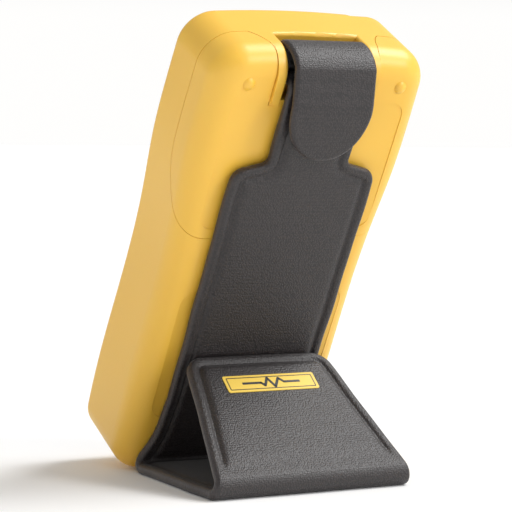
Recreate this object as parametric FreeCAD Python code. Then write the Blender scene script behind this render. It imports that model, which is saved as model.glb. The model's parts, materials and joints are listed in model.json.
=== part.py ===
"""Handheld digital multimeter leaning on its folded hanging-strap stand.

Frame: millimetres, +Z up, floor at Z = 0, +X to the right of someone who faces the display,
+Y towards the stand. The meter's own pieces are drawn upright in "meter coordinates": x across,
s up from the bottom end, d forward from the back face, and are then leaned back.
"""
import FreeCAD, Part

import math
import os

V = FreeCAD.Vector

# ---------------------------------------------------------------- driving dimensions
LENGTH = 142.0             # bottom end to top end
HALF_TOP = 34.5            # half width at the display
HALF_WAIST = 32.3          # half width beside the selector
HALF_FOOT = 32.8           # half width beside the jacks
DEPTH = 28.0               # back face to front rim
CORNER_TOP = 10.0          # corner radii of the outline
CORNER_FOOT = 9.0
BACK_ROUND = 7.5           # rounding of the back edges
FRONT_ROUND = 2.6
WALL = 3.0                 # over-moulded frame wall
DOOR_WALL = 2.0
BACK_WALL = 2.0

TILT = 28.8                # lean of the meter from upright, degrees
BACK_LINE_Y = -12.65       # where the back face plane and the bottom end plane meet
PART_CENTRE_Y = 10.42      # middle of the finished object before it is centred on the origin

SPLIT = 13.3               # depth of the line between frame and battery door
ARC_CENTRE_D = -16.0       # the line swings onto the back round this centre
ARC_CENTRE_S = 108.0
ARC_R = 29.3
LINE_GAP = 0.2
DECK = 1.5                 # wall between electronics and battery bay

FACE = 27.4                # front of the dark face plate
FACE_WALL = 1.8
CASE_INSET = 3.1
SKIRT = 1.6
PCB_BACK = 16.0
PCB_FRONT = 17.6

WINDOW = (23.0, 99.0, 129.0)          # half width, lower and upper edge of the display opening
BUTTON_S = 87.0
BUTTON_XS = (-21.6, -7.2, 7.2, 21.6)
BUTTON_HALF = 5.5
BUTTON_HALF_S = 2.8
KNOB_S = 56.0
KNOB_R = 16.5
DIAL_R = 18.8
DIAL_FLOOR = 25.4
SHAFT_R = 3.9
RUN = 0.08                 # radial clearance of what turns
JACK_S = 19.0
JACK_XS = (-20.0, 0.0, 20.0)
JACK_BORE = 2.0
JACK_CUP = 5.1

BAY_S = (104.5, 115.6)     # centre lines of the two cells
CELL_R = 5.25
CELL_D = 7.6
DOOR_SCREW_S = 93.0
LOW_SCREW_X, LOW_SCREW_S = 17.0, 30.0         # screws that hold the casings together
HIGH_SCREW_X, HIGH_SCREW_S = 28.9, 108.0
BOARD_SCREW_X, BOARD_SCREW_S = 22.0, 79.0
FUSE_S = 40.0
FUSE_D = 8.6
BUZZER_X, BUZZER_S = 20.0, 55.0
DETENT_R = 9.0             # circle of the selector's detent balls

POCKET_HALF = 13.3         # hanger recess
POCKET_S = 127.5
POCKET_D = 12.0
ARCH_HALF = 16.4           # the frame's legs beside the recess
ARCH_PROUD = 0.9
RIM_ROUND = 0.9
CORNER_R = 7.0             # corners of the door beside the recess
CORNER_SLANT = 32.0
BAR_S = 137.2              # bar the strap hangs on
BAR_D = 5.4
BAR_R = 3.1

STRAP_T = 3.0              # padded strap
LOOP_T = 2.2               # unpadded leather round the bar and in the flap
LINING = 1.0               # inner layer of the flap
STRAP_GAP = 0.35           # strap to the meter's back
SKIN = 0.9                 # leather layer that backs a board
BOARD_T = 1.1
FOLD_R = 4.0               # outside radius of the two folds
NECK_HALF = 12.9
MAIN_HALF = 23.2
SHOULDER = (106.2, 109.0)  # heights where the main panel narrows to the neck
FRONT_HALF = 28.0
REAR_HALF = 32.0
LEG_FOOT_HALF = 31.0
LEG_TOP_HALF = 22.8
REAR_FOLD_Y = 44.5         # axis of the rear fold
LEG_SLOPE = 41.0           # leg above the floor, degrees
LEG_LENGTH = 44.3
LABEL_DROP = 8.8           # leg's end to the label's upper edge
FLAP_MAGNET_S = 119.5
FLAP_BACK = -5.4           # depth of the flap's inner face at its end
FLAP_END_S = 112.4
FLAP_BEND_R = 13.0
CROWN_R = 7.6              # bend of the ribbon over the bar
CREASE_ANGLE = math.radians(28.0)
CREASE_HALF = 1.4

lean = math.radians(TILT)
BACK_LINE_Z = -BACK_ROUND * (math.sin(lean) + math.cos(lean) - 1.0)


# ---------------------------------------------------------------- drawing helpers
def box(x0, x1, s0, s1, d0, d1):
    return Part.makeBox(x1 - x0, d1 - d0, s1 - s0, V(x0, -d1, s0))


def disc(x, s, r, d0, d1):
    return Part.makeCylinder(r, d1 - d0, V(x, -d1, s), V(0, 1, 0))


def tube(x, s, r_out, r_in, d0, d1):
    return disc(x, s, r_out, d0, d1).cut(disc(x, s, r_in, d0 - 1, d1 + 1))


def rod(x0, x1, s, d, r):
    return Part.makeCylinder(r, x1 - x0, V(x0, -d, s), V(1, 0, 0))


def plate(x0, x1, s0, s1, r, d0, d1):
    """Rounded rectangle seen from the front."""
    solid = box(x0, x1, s0, s1, d0, d1)
    corners = [e for e in solid.Edges if e.BoundBox.YLength > (d1 - d0) * 0.9]
    return solid.makeFillet(r, corners)


def fuse(shapes):
    first, rest = shapes[0], shapes[1:]
    return first.multiFuse(rest).removeSplitter() if rest else first


def cut(shape, tools):
    return shape.cut(Part.makeCompound(tools))


def arc(p, q, r):
    return Part.Arc(p, q, r).toShape()


def line(p, q):
    return Part.makeLine(p, q)


# ---------------------------------------------------------------- the meter's outline
def outline_prism(inset, d0, d1):
    """The waisted outline, moved inwards by inset, between two depths."""
    foot = inset + 0.9
    top = LENGTH - inset - 1.6
    side = [(HALF_FOOT - 1.1, foot), (HALF_FOOT - 0.2, 16.0), (HALF_FOOT, 32.0),
            (HALF_WAIST + 0.1, 54.0), (HALF_WAIST, 66.0), (HALF_WAIST + 0.6, 84.0),
            (HALF_TOP - 0.1, 104.0), (HALF_TOP, 118.0), (HALF_TOP - 0.7, top)]
    right = [V(half - inset, -d1, s) for half, s in side]
    left = [V(-p.x, p.y, p.z) for p in reversed(right)]
    edges = []
    for points in (right, left):
        curve = Part.BSplineCurve()
        curve.interpolate(points)
        edges.append(curve.toShape())
    edges.insert(1, arc(right[-1], V(0, -d1, LENGTH - inset), left[0]))
    edges.append(arc(left[-1], V(0, -d1, inset), right[0]))
    solid = Part.Face(Part.Wire(edges)).extrude(V(0, d1 - d0, 0))
    upright = [e for e in solid.Edges if e.BoundBox.YLength > (d1 - d0) * 0.9]
    high = [e for e in upright if e.CenterOfMass.z > LENGTH / 2]
    solid = solid.makeFillet(CORNER_TOP - inset, high)
    upright = [e for e in solid.Edges if e.BoundBox.YLength > (d1 - d0) * 0.9]
    low = [e for e in upright if e.CenterOfMass.z < 5.0 + inset and abs(e.CenterOfMass.x) > 20]
    return solid.makeFillet(CORNER_FOOT - inset, low)


def rim_edges(solid, d):
    """Edges of the outline that lie at one depth."""
    return [e for e in solid.Edges if e.BoundBox.YLength < 0.01
            and abs(e.CenterOfMass.y + d) < 0.01]


def meter_body():
    solid = outline_prism(0.0, 0.0, DEPTH)
    solid = solid.makeFillet(BACK_ROUND, rim_edges(solid, 0.0))
    return solid.makeFillet(FRONT_ROUND, rim_edges(solid, DEPTH))


def cavity(inset, back, front):
    solid = outline_prism(inset, back, front)
    return solid.makeFillet(BACK_ROUND - inset, rim_edges(solid, back))


def door_zone(grow):
    """Everything on the door's side of the parting line, seen from the side."""
    r = ARC_R + grow
    deep = SPLIT + grow
    d_low = -6.0
    x0 = -60.0

    def point(d, s):
        return V(x0, -d, s)

    low = point(d_low, ARC_CENTRE_S - math.sqrt(r ** 2 - (d_low - ARC_CENTRE_D) ** 2))
    turn = math.radians(-20.0)
    mid = point(ARC_CENTRE_D + r * math.cos(turn), ARC_CENTRE_S + r * math.sin(turn))
    end = point(deep, ARC_CENTRE_S)
    wire = Part.Wire([arc(low, mid, end), line(end, point(deep, 170)),
                      line(point(deep, 170), point(d_low, 170)),
                      line(point(d_low, 170), low)])
    return Part.Face(wire).extrude(V(120, 0, 0))


def hanger_block():
    """Space of the frame between the door's two halves of the recess wall."""
    return box(-ARCH_HALF, ARCH_HALF, POCKET_S - 1.7, LENGTH + 5, -1, SPLIT + DECK)


def door_corners(grow):
    """Rounded corners that the door leaves to the frame beside the recess, cut on a slant."""
    slant = math.radians(CORNER_SLANT)
    top = SPLIT * math.sin(slant) + LENGTH * math.cos(slant)
    low = top - CORNER_R
    r = CORNER_R - grow
    c = r * math.cos(math.pi / 4)
    pair = []
    for side in (-1, 1):
        def point(x, u):
            d = u * math.sin(slant) - 55 * math.cos(slant)
            s = u * math.cos(slant) + 55 * math.sin(slant)
            return V(side * x, -d, s)

        mid = ARCH_HALF + CORNER_R
        wire = Part.Wire([arc(point(mid, low + r), point(mid - c, low + c), point(mid - r, low)),
                          line(point(mid - r, low), point(ARCH_HALF - 1, low)),
                          line(point(ARCH_HALF - 1, low), point(ARCH_HALF - 1, top + 4)),
                          line(point(ARCH_HALF - 1, top + 4), point(mid, top + 4)),
                          line(point(mid, top + 4), point(mid, low + r))])
        way = V(0, math.cos(slant), math.sin(slant)) * 30
        pair.append(Part.Face(wire).extrude(way))
    return Part.makeCompound(pair)


def arch():
    """Rim of the hanger recess: two proud legs that run into the top end, edges softened."""
    thick = outline_prism(0, -ARCH_PROUD, DEPTH)
    thick = thick.makeFillet(BACK_ROUND + ARCH_PROUD, rim_edges(thick, -ARCH_PROUD))
    legs = plate(-ARCH_HALF, ARCH_HALF, POCKET_S - 1.6, LENGTH + 20, 2.2, -8, POCKET_D + 2.3)
    piece = thick.common(legs).cut(box(-POCKET_HALF, POCKET_HALF, POCKET_S - 5, LENGTH + 30,
                                       -9, POCKET_D))
    rim = []
    for edge in piece.Edges:
        middle = edge.valueAt((edge.FirstParameter + edge.LastParameter) / 2)
        beside = abs(abs(middle.x) - POCKET_HALF) < 0.01 and middle.y > -POCKET_D
        across = abs(middle.y + POCKET_D) < 0.01 and abs(middle.x) < POCKET_HALF - 0.1
        outside = thick.Shells[0].distToShape(Part.Vertex(middle))[0] < 0.01
        if outside and (beside or across):
            rim.append(edge)
    return piece.makeFillet(RIM_ROUND, rim)


body = meter_body()
arch_space = box(-ARCH_HALF, ARCH_HALF, POCKET_S + 2, LENGTH + 5, -9, POCKET_D + 2.3)
recess = box(-POCKET_HALF, POCKET_HALF, POCKET_S, LENGTH + 30, -9, POCKET_D)


# ---------------------------------------------------------------- casings
def make_frame():
    hollow = cavity(WALL, BACK_WALL, DEPTH + 2).cut(door_zone(DECK))
    hollow = hollow.cut(hanger_block())
    bay = door_zone(LINE_GAP / 2).cut(hanger_block()).cut(door_corners(0))
    shell = body.cut(hollow).cut(bay)
    shell = shell.cut(recess).cut(arch_space).fuse(arch())
    label = plate(-26.6, 26.6, 22, 66, 5, -1, 0.3)
    shell = shell.cut(label)
    posts = [disc(x, LOW_SCREW_S, 4.0, 0.5, 14) for x in (-LOW_SCREW_X, LOW_SCREW_X)]
    posts.append(disc(0, DOOR_SCREW_S, 3.4, 6.8, 10.5))
    shell = shell.fuse(Part.makeCompound(posts))
    holes = []
    for x in (-LOW_SCREW_X, LOW_SCREW_X):
        holes.append(disc(x, LOW_SCREW_S, 3.0, -1, 9))
        holes.append(disc(x, LOW_SCREW_S, 1.4, 8, 15))
    for x in (-HIGH_SCREW_X, HIGH_SCREW_X):
        holes.append(disc(x, HIGH_SCREW_S, 1.4, 12, 16))
    holes.append(disc(0, DOOR_SCREW_S, 1.5 + RUN, 5, 8.6))
    holes += [rod(-ARCH_HALF + 0.6, ARCH_HALF - 0.6, BAR_S, BAR_D, 1.2)]
    return cut(shell, holes)


def make_door():
    hollow = cavity(DOOR_WALL, DOOR_WALL, DEPTH)
    notch = box(-ARCH_HALF - LINE_GAP, ARCH_HALF + LINE_GAP, POCKET_S - 1.7 - LINE_GAP,
                LENGTH + 5, -5, DEPTH)
    door = body.common(door_zone(-LINE_GAP / 2)).cut(hollow).cut(notch)
    door = door.cut(door_corners(LINE_GAP))
    door = door.cut(plate(-27.8, 27.8, 86.5, 126.9, 4, -1, 0.25))
    boss = disc(0, DOOR_SCREW_S, 5, DOOR_WALL - 0.5, 4.4)
    ribs = [box(x - 0.6, x + 0.6, 98, 124, DOOR_WALL - 0.5, 2.6) for x in (-24, 24)]
    door = door.fuse(Part.makeCompound([boss] + ribs))
    for x in (-24.3, 24.3):
        dome = Part.makeSphere(2.3, V(x, -1.3, 132)).cut(box(x - 4, x + 4, 126, 138, 0.6, 8))
        door = door.fuse(dome)
    door = door.cut(disc(0, DOOR_SCREW_S, 3.6, -1, 2.5))
    return door.cut(disc(0, DOOR_SCREW_S, 1.5 + RUN, 0, 6))


def make_front_case():
    plug = outline_prism(CASE_INSET, PCB_FRONT, FACE)
    inside = outline_prism(CASE_INSET + SKIRT, PCB_FRONT - 1, FACE - FACE_WALL)
    case = plug.cut(inside)
    case = case.fuse(disc(0, KNOB_S, DIAL_R + 1.6, DIAL_FLOOR - 1.8, FACE))
    case = case.fuse(disc(0, KNOB_S, 6.4, DIAL_FLOOR - 2.8, DIAL_FLOOR - 1))
    posts = [disc(x, LOW_SCREW_S, 3.0, 14.05, FACE - 1) for x in (-LOW_SCREW_X, LOW_SCREW_X)]
    posts += [disc(x, BOARD_SCREW_S, 2.4, PCB_FRONT, FACE - 1) for x in (-BOARD_SCREW_X, BOARD_SCREW_X)]
    posts += [disc(x, HIGH_SCREW_S, 2.2, 14.95, FACE - 1) for x in (-HIGH_SCREW_X, HIGH_SCREW_X)]
    case = case.fuse(Part.makeCompound(posts))
    half, low, high = WINDOW
    holes = [plate(-half, half, low, high, 2, 20, 30),
             plate(-half - 2.2, half + 2.2, low - 3, high + 2.4, 3, FACE - 0.9, 30),
             disc(0, KNOB_S, DIAL_R, DIAL_FLOOR, 30),
             disc(0, KNOB_S, SHAFT_R + RUN, 20, 30)]
    for x in BUTTON_XS:
        holes.append(plate(x - BUTTON_HALF - 0.12, x + BUTTON_HALF + 0.12,
                           BUTTON_S - BUTTON_HALF_S - 0.12, BUTTON_S + BUTTON_HALF_S + 0.12,
                           1.4, 20, 30))
    for x in JACK_XS:
        holes.append(disc(x, JACK_S, JACK_CUP, 20, 30))
        holes.append(disc(x, JACK_S, 7.2, FACE - 0.5, 30))
    holes += [disc(x, LOW_SCREW_S, 1.1, 13, 24) for x in (-LOW_SCREW_X, LOW_SCREW_X)]
    holes += [disc(x, BOARD_SCREW_S, 1.0, 16, 23.5) for x in (-BOARD_SCREW_X, BOARD_SCREW_X)]
    holes += [disc(x, HIGH_SCREW_S, 1.1, 14, 24) for x in (-HIGH_SCREW_X, HIGH_SCREW_X)]
    return cut(case, holes)


# ---------------------------------------------------------------- display and controls
def make_window_lens():
    half, low, high = WINDOW
    return plate(-half - 2.1, half + 2.1, low - 2.9, high + 2.3, 2.9, FACE - 0.85, FACE - 0.05)


def make_lcd_frame():
    outer = plate(-25.4, 25.4, 95.5, 131.5, 1.5, PCB_FRONT, 25.4)
    return outer.cut(box(-23.9, 23.9, 97.2, 130.2, 10, 30))


def make_lcd_panel():
    return box(-23.7, 23.7, 97.4, 130.0, 23.0, 25.3)


def make_backlight():
    return box(-23.7, 23.7, 101.6, 126.2, 19.6, 22.9)


def make_zebra_strips():
    return fuse([box(-22, 22, 98.4, 100.9, PCB_FRONT, 22.95),
                 box(-22, 22, 126.9, 129.4, PCB_FRONT, 22.95)])


def make_button(x):
    cap = plate(x - BUTTON_HALF, x + BUTTON_HALF, BUTTON_S - BUTTON_HALF_S,
                BUTTON_S + BUTTON_HALF_S, 1.3, 24.5, FACE + 1.3)
    top = [e for e in cap.Edges if e.BoundBox.YLength < 0.01
           and abs(e.CenterOfMass.y + FACE + 1.3) < 0.01]
    cap = cap.makeFillet(0.7, top)
    flange = plate(x - BUTTON_HALF - 0.8, x + BUTTON_HALF + 0.8, BUTTON_S - BUTTON_HALF_S - 0.8,
                   BUTTON_S + BUTTON_HALF_S + 0.8, 1.5, 24.3, 25.4)
    return cap.fuse(flange).fuse(disc(x, BUTTON_S, 1.6, 21.9, 25))


def make_keypad_mat():
    mat = plate(-28, 28, 83.0, 91.0, 2, PCB_FRONT, 18.6)
    domes = [Part.makeCone(2.6, 1.7, 2.4, V(x, -18.4, BUTTON_S), V(0, -1, 0))
             for x in BUTTON_XS]
    return mat.fuse(Part.makeCompound(domes))


def make_knob():
    base = disc(0, KNOB_S, KNOB_R, DIAL_FLOOR + 0.25, FACE + 0.9)
    rim = [e for e in base.Edges if abs(e.CenterOfMass.y + FACE + 0.9) < 0.01]
    base = base.makeFillet(0.9, rim)
    grip = plate(-3.6, 3.6, KNOB_S - KNOB_R + 0.8, KNOB_S + KNOB_R - 0.8, 3.2, 27, FACE + 6.0)
    rim = [e for e in grip.Edges if e.BoundBox.YLength < 0.01
           and abs(e.CenterOfMass.y + FACE + 6.0) < 0.01]
    grip = grip.makeFillet(1.2, rim)
    shaft = disc(0, KNOB_S, SHAFT_R, 20.4, 27)
    knob = base.fuse(grip).fuse(shaft)
    mark = box(-0.6, 0.6, KNOB_S + 8, KNOB_S + KNOB_R - 1.6, FACE + 5.6, FACE + 7)
    return knob.cut(mark).cut(disc(0, KNOB_S, 1.0, 20, 25))


def make_knob_pointer():
    return box(-0.6, 0.6, KNOB_S + 8, KNOB_S + KNOB_R - 1.6, FACE + 5.6, FACE + 5.95)


def make_rotor():
    ring = tube(0, KNOB_S, 13.0, SHAFT_R, 20.4, 21.9)
    pockets = [disc(x, KNOB_S, 1.06, 21.0, 23) for x in (-DETENT_R, DETENT_R)]
    return cut(ring, pockets)


def make_rotor_screw():
    shank = disc(0, KNOB_S, 1.0, 19.6, 24.6)
    return shank.fuse(disc(0, KNOB_S, 5.0, 19.0, 20.3))


def make_detent_balls():
    return Part.makeCompound([Part.makeSphere(1.0, V(x, -22.4, KNOB_S))
                              for x in (-DETENT_R, DETENT_R)])


def make_wipers():
    shapes = []
    for k in range(3):
        a = math.radians(120 * k + 30)
        x, s = 8.6 * math.cos(a), KNOB_S + 8.6 * math.sin(a)
        arm = box(-3.2, 3.2, -0.8, 0.8, 20.0, 20.35)
        feet = [box(e - 0.5, e + 0.5, -0.6, 0.6, PCB_FRONT + 0.25, 20.05) for e in (-2.6, 2.6)]
        arm = arm.fuse(Part.makeCompound(feet))
        arm.rotate(V(0, 0, 0), V(0, -1, 0), math.degrees(a))
        arm.translate(V(x, 0, s))
        shapes.append(arm)
    return Part.makeCompound(shapes)


def make_selector_tracks():
    return Part.makeCompound([tube(0, KNOB_S, r + 0.8, r - 0.8, PCB_FRONT, PCB_FRONT + 0.15)
                              for r in (6.2, 9.0, 11.6)])


# ---------------------------------------------------------------- electronics
def make_main_pcb():
    board = outline_prism(WALL + 0.6, PCB_BACK, PCB_FRONT)
    holes = [disc(x, JACK_S, 6.7, 10, 20) for x in JACK_XS]
    holes += [disc(x, LOW_SCREW_S, 3.3, 10, 20) for x in (-LOW_SCREW_X, LOW_SCREW_X)]
    holes += [disc(x, BOARD_SCREW_S, 1.2, 10, 20) for x in (-BOARD_SCREW_X, BOARD_SCREW_X)]
    holes += [disc(x, HIGH_SCREW_S, 3.0, 10, 20) for x in (-HIGH_SCREW_X, HIGH_SCREW_X)]
    return cut(board, holes)


def make_board_components():
    chips = [box(-6, 6, 64, 76, 14.3, PCB_BACK), box(10, 15, 66, 72, 14.8, PCB_BACK),
             box(-17, -12, 66, 70, 14.8, PCB_BACK)]
    capacitors = [disc(x, 64, 2.5, 9.5, PCB_BACK) for x in (20, 26)]
    return Part.makeCompound(chips + capacitors)


def make_surge_parts():
    """Three varistor discs and a thermistor disc standing on the board."""
    parts = []
    for x, r in ((-24, 4.2), (-16, 4.2), (-8, 4.2), (9.5, 3.6)):
        disk = Part.makeCylinder(r, 3.4, V(x - 1.7, -10.9, 50.5), V(1, 0, 0))
        parts.append(disk.fuse(box(x - 0.3, x + 0.3, 48.5, 52.5, 11, PCB_BACK)))
    return Part.makeCompound(parts)


def make_shunt():
    """Thick wire bridge of the high-current range."""
    legs = [disc(x, 31, 0.8, 11.0, PCB_BACK) for x in (-6, 6)]
    return rod(-6.8, 6.8, 31, 11.0, 0.8).fuse(Part.makeCompound(legs))


def make_buzzer():
    can = disc(BUZZER_X, BUZZER_S, 6.2, 12.0, PCB_BACK)
    return can.cut(disc(BUZZER_X, BUZZER_S, 1.0, 11, 13))


def make_fuse():
    body_tube = rod(-16, 16, FUSE_S, FUSE_D, 4.9)
    caps = [rod(x, x + 6, FUSE_S, FUSE_D, 5.15) for x in (-19, 13)]
    return body_tube.fuse(Part.makeCompound(caps))


def make_fuse_clips():
    clips = []
    for x in (-18.2, 14.2):
        ring = rod(x, x + 4, FUSE_S, FUSE_D, 5.65).cut(rod(x - 1, x + 5, FUSE_S, FUSE_D, 5.16))
        ring = ring.cut(box(x - 1, x + 5, FUSE_S - 3.2, FUSE_S + 3.2, 0, 6.0))
        foot = box(x, x + 4, FUSE_S - 1.4, FUSE_S + 1.4, 13.9, PCB_BACK)
        clips.append(ring.fuse(foot))
    return Part.makeCompound(clips)


def make_rear_shield():
    return plate(-24, 24, 44, 76, 2, 2.1, 2.4)


def make_jack_block():
    solid = plate(-27.4, 27.4, 12.0, 26.2, 2, PCB_FRONT, 19.2)
    cups = [disc(x, JACK_S, 6.4, 5.4, 19.2) for x in JACK_XS]
    solid = solid.fuse(Part.makeCompound(cups))
    solid = cut(solid, [disc(x, JACK_S, JACK_CUP, 7.0, 30) for x in JACK_XS])
    rings = [disc(x, JACK_S, 6.4, 19.1, FACE - FACE_WALL - 0.05)
             .cut(disc(x, JACK_S, JACK_CUP, 18, 30)) for x in JACK_XS]
    sleeves = [disc(x, JACK_S, 3.3, 6.5, 24.4) for x in JACK_XS]
    solid = solid.fuse(Part.makeCompound(rings + sleeves))
    return cut(solid, [disc(x, JACK_S, 2.6, 6.9, 30) for x in JACK_XS])


def make_jack_sockets():
    barrels = [tube(x, JACK_S, 2.6, JACK_BORE, 8.0, 22.4).fuse(disc(x, JACK_S, 2.6, 6.9, 8.0))
               for x in JACK_XS]
    return Part.makeCompound(barrels)


def jack_rings(xs):
    return Part.makeCompound([tube(x, JACK_S, 7.1, JACK_CUP, FACE - 0.5, FACE + 0.05) for x in xs])


def make_live_rings():
    return jack_rings((JACK_XS[0], JACK_XS[2]))


def make_common_ring():
    return jack_rings(JACK_XS[1:2])


# ---------------------------------------------------------------- battery bay
def make_batteries():
    cells = [rod(-21.4, 21.9, s, CELL_D, CELL_R).fuse(rod(21.9, 23.1, s, CELL_D, 1.9))
             for s in BAY_S]
    return Part.makeCompound(cells)


def make_battery_tray():
    low, high = BAY_S[0] - 6.4, BAY_S[1] + 6.4
    tray = box(-26.4, 26.4, low, high, 6.4, SPLIT + 1).common(door_zone(LINE_GAP / 2))
    holes = [rod(-25.2, 25.2, s, CELL_D, CELL_R + 0.12) for s in BAY_S]
    return cut(tray, holes)


def make_battery_springs():
    coils = []
    for s in BAY_S:
        for k in range(4):
            coils.append(Part.makeTorus(3.4 - 0.5 * k, 0.45, V(-24.4 + 0.62 * k, -CELL_D, s),
                                        V(1, 0, 0)))
        coils.append(rod(-25.1, -24.6, s, CELL_D, 3.6))
    return fuse(coils)


def make_battery_contacts():
    return Part.makeCompound([rod(23.2, 25.2, s, CELL_D, 3.4) for s in BAY_S])


# ---------------------------------------------------------------- fasteners
def screw(x, s, head_r, head_d, head_t, shank_r, tip_d):
    head = disc(x, s, head_r, head_d, head_d + head_t)
    slot = [box(x - head_r * 0.6, x + head_r * 0.6, s - 0.35, s + 0.35, head_d - 1, head_d + 0.8),
            box(x - 0.35, x + 0.35, s - head_r * 0.6, s + head_r * 0.6, head_d - 1, head_d + 0.8)]
    return cut(head, slot).fuse(disc(x, s, shank_r, head_d + head_t - 0.1, tip_d))


def make_case_screws():
    low = [screw(x, LOW_SCREW_S, 2.7, 7.0, 2.0, 1.1, 22.0) for x in (-LOW_SCREW_X, LOW_SCREW_X)]
    high = [screw(x, HIGH_SCREW_S, 2.2, 11.6, 1.7, 1.1, 22.0)
            for x in (-HIGH_SCREW_X, HIGH_SCREW_X)]
    return Part.makeCompound(low + high)


def make_pcb_screws():
    return Part.makeCompound([screw(x, BOARD_SCREW_S, 2.0, 14.5, 1.5, 1.0, 22.0)
                              for x in (-BOARD_SCREW_X, BOARD_SCREW_X)])


def make_door_screw():
    return screw(0, DOOR_SCREW_S, 3.4, 0.9, 1.6, 1.5, 8.4)


# ---------------------------------------------------------------- hanging strap and stand
def lean_back(shape):
    """Meter coordinates to the leaning meter."""
    shape = shape.copy()
    shape.rotate(V(0, 0, 0), V(1, 0, 0), -TILT)
    shape.translate(V(0, BACK_LINE_Y, BACK_LINE_Z))
    return shape


# the front fold turns on an axis FOLD_R above the floor and FOLD_R behind the strap's meter side
FOLD_D = -STRAP_GAP - FOLD_R
FOLD_S = (FOLD_R - BACK_LINE_Z - FOLD_D * math.sin(lean)) / math.cos(lean)
FRONT_FOLD_Y = BACK_LINE_Y + FOLD_S * math.sin(lean) - FOLD_D * math.cos(lean)
NECK_TOP = 129.6
OUTER = -STRAP_GAP - STRAP_T
SEAM = -STRAP_GAP - SKIN
LEG_SEAM = -FOLD_R + SKIN
MAIN_MAGNETS = [(-10.0, 42.0), (10.0, 42.0)]
LEG_MAGNETS = [(-10.0, LEG_LENGTH - 13.0), (10.0, LEG_LENGTH - 13.0)]


def strip(right, d0, d1, rounds):
    """Panel symmetric about x = 0 from its right-hand (x, s) corners, low to high.

    rounds gives the corner radius at each right-hand point, 0 for a square corner.
    """
    pts = right + [(-x, s) for x, s in reversed(right)]
    ring = [V(x, -d1, s) for x, s in pts]
    solid = Part.Face(Part.makePolygon(ring + ring[:1])).extrude(V(0, d1 - d0, 0))
    for (x, s), r in zip(right, rounds):
        if r > 0:
            near = [e for e in solid.Edges if e.BoundBox.YLength > (d1 - d0) * 0.9
                    and abs(abs(e.CenterOfMass.x) - x) < 0.01 and abs(e.CenterOfMass.z - s) < 0.01]
            solid = solid.makeFillet(r, near)
    return solid


def main_outline(inset, low, d0, d1):
    n = NECK_HALF - inset
    w = MAIN_HALF - inset
    right = [(FRONT_HALF - inset, low), (w + 1.8, low + 7.0), (w, low + 22.0),
             (w, SHOULDER[0] - inset), (n, SHOULDER[1] - inset), (n, NECK_TOP)]
    return strip(right, d0, d1, (0, 0, 0, 4.5, 2.5, 0))


def main_board_outline(inset, d0, d1):
    w = MAIN_HALF - inset
    return strip([(w, FOLD_S + inset - 1), (w, SHOULDER[0] - inset)], d0, d1, (1.5, 3))


def make_main_outer():
    panel = main_outline(0, FOLD_S, OUTER, SEAM)
    panel = panel.cut(main_board_outline(4.5, SEAM - BOARD_T - 0.05, SEAM + 1))
    return panel.cut(disc(0, FLAP_MAGNET_S, 5.1, SEAM - BOARD_T - 0.05, SEAM + 1))


def make_main_inner():
    return main_outline(0, FOLD_S, SEAM, -STRAP_GAP)


def magnets(points, r, d0, d1):
    return Part.makeCompound([disc(x, s, r, d0, d1) for x, s in points])


def make_main_board():
    board = main_board_outline(4.6, SEAM - BOARD_T, SEAM)
    return board.cut(magnets(MAIN_MAGNETS, 5.1, SEAM - 3, SEAM + 3))


def make_main_magnets():
    """Two magnets that hold the leg's top and the flap's catch plate in the neck."""
    pair = magnets(MAIN_MAGNETS, 5.0, SEAM - BOARD_T, SEAM)
    return Part.makeCompound([pair, disc(0, FLAP_MAGNET_S, 5.0, SEAM - BOARD_T, SEAM)])


def ribbon_paths():
    """The leather ribbon's bar-side line: neck, round the bar, over its top and down the flap."""
    r = BAR_R + RUN
    under = BAR_S - r
    over = BAR_S + r
    neck = OUTER + 0.4
    turn = 3.2
    k = turn * (1 - math.cos(math.pi / 4))
    crown_d = BAR_D - 0.8
    crown_s = over - CROWN_R

    def v(d, s):
        return V(0, -d, s)

    def on_crown(angle):
        return v(crown_d - CROWN_R * math.cos(angle), crown_s + CROWN_R * math.sin(angle))

    stop = CREASE_ANGLE + CREASE_HALF / (CROWN_R + LOOP_T / 2)
    crease = on_crown(CREASE_ANGLE)
    run = V(0, math.sin(CREASE_ANGLE), -math.cos(CREASE_ANGLE))
    start = crease + run * CREASE_HALF
    reach = (-FLAP_BACK - crease.y) / run.y
    knee = crease + run * reach
    tangent = FLAP_BEND_R * math.tan(CREASE_ANGLE / 2)
    bend_in = knee - run * tangent
    bend_out = knee + V(0, 0, -tangent)
    half = CREASE_ANGLE / 2
    centre = V(0, bend_out.y - FLAP_BEND_R, bend_out.z)
    bend_mid = centre + V(0, math.cos(half), math.sin(half)) * FLAP_BEND_R
    neck_in = [line(v(neck, NECK_TOP), v(neck, under - turn)),
               arc(v(neck, under - turn), v(neck + k, under - k), v(neck + turn, under)),
               line(v(neck + turn, under), v(BAR_D, under))]
    wrap = [arc(v(BAR_D, under), v(BAR_D + r, BAR_S), v(BAR_D, over)),
            line(v(BAR_D, over), v(crown_d, over))]
    crown = [arc(v(crown_d, over), on_crown((stop + math.pi / 2) / 2), on_crown(stop))]
    web = [arc(on_crown(stop), on_crown((stop + CREASE_ANGLE) / 2), crease), line(crease, start)]
    flap = [line(start, bend_in), arc(bend_in, bend_mid, bend_out),
            line(bend_out, v(FLAP_BACK, FLAP_END_S))]
    return {"neck": neck_in, "wrap": wrap, "crown": crown, "web": web, "flap": flap}


def ribbon(stretch, half, near, far):
    """One stretch of the ribbon between two distances from its bar-side line."""
    wire = Part.Wire(ribbon_paths()[stretch])
    face = wire.makeOffset2D(-far, 0, True, True)
    if near > 0:
        face = face.cut(wire.makeOffset2D(-near, 0, True, True))
    solid = face.extrude(V(2 * half, 0, 0))
    solid.translate(V(-half, 0, 0))
    return solid


def make_strap_loop():
    return fuse([ribbon(stretch, NECK_HALF, 0, LOOP_T) for stretch in ("neck", "wrap", "crown")])


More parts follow.
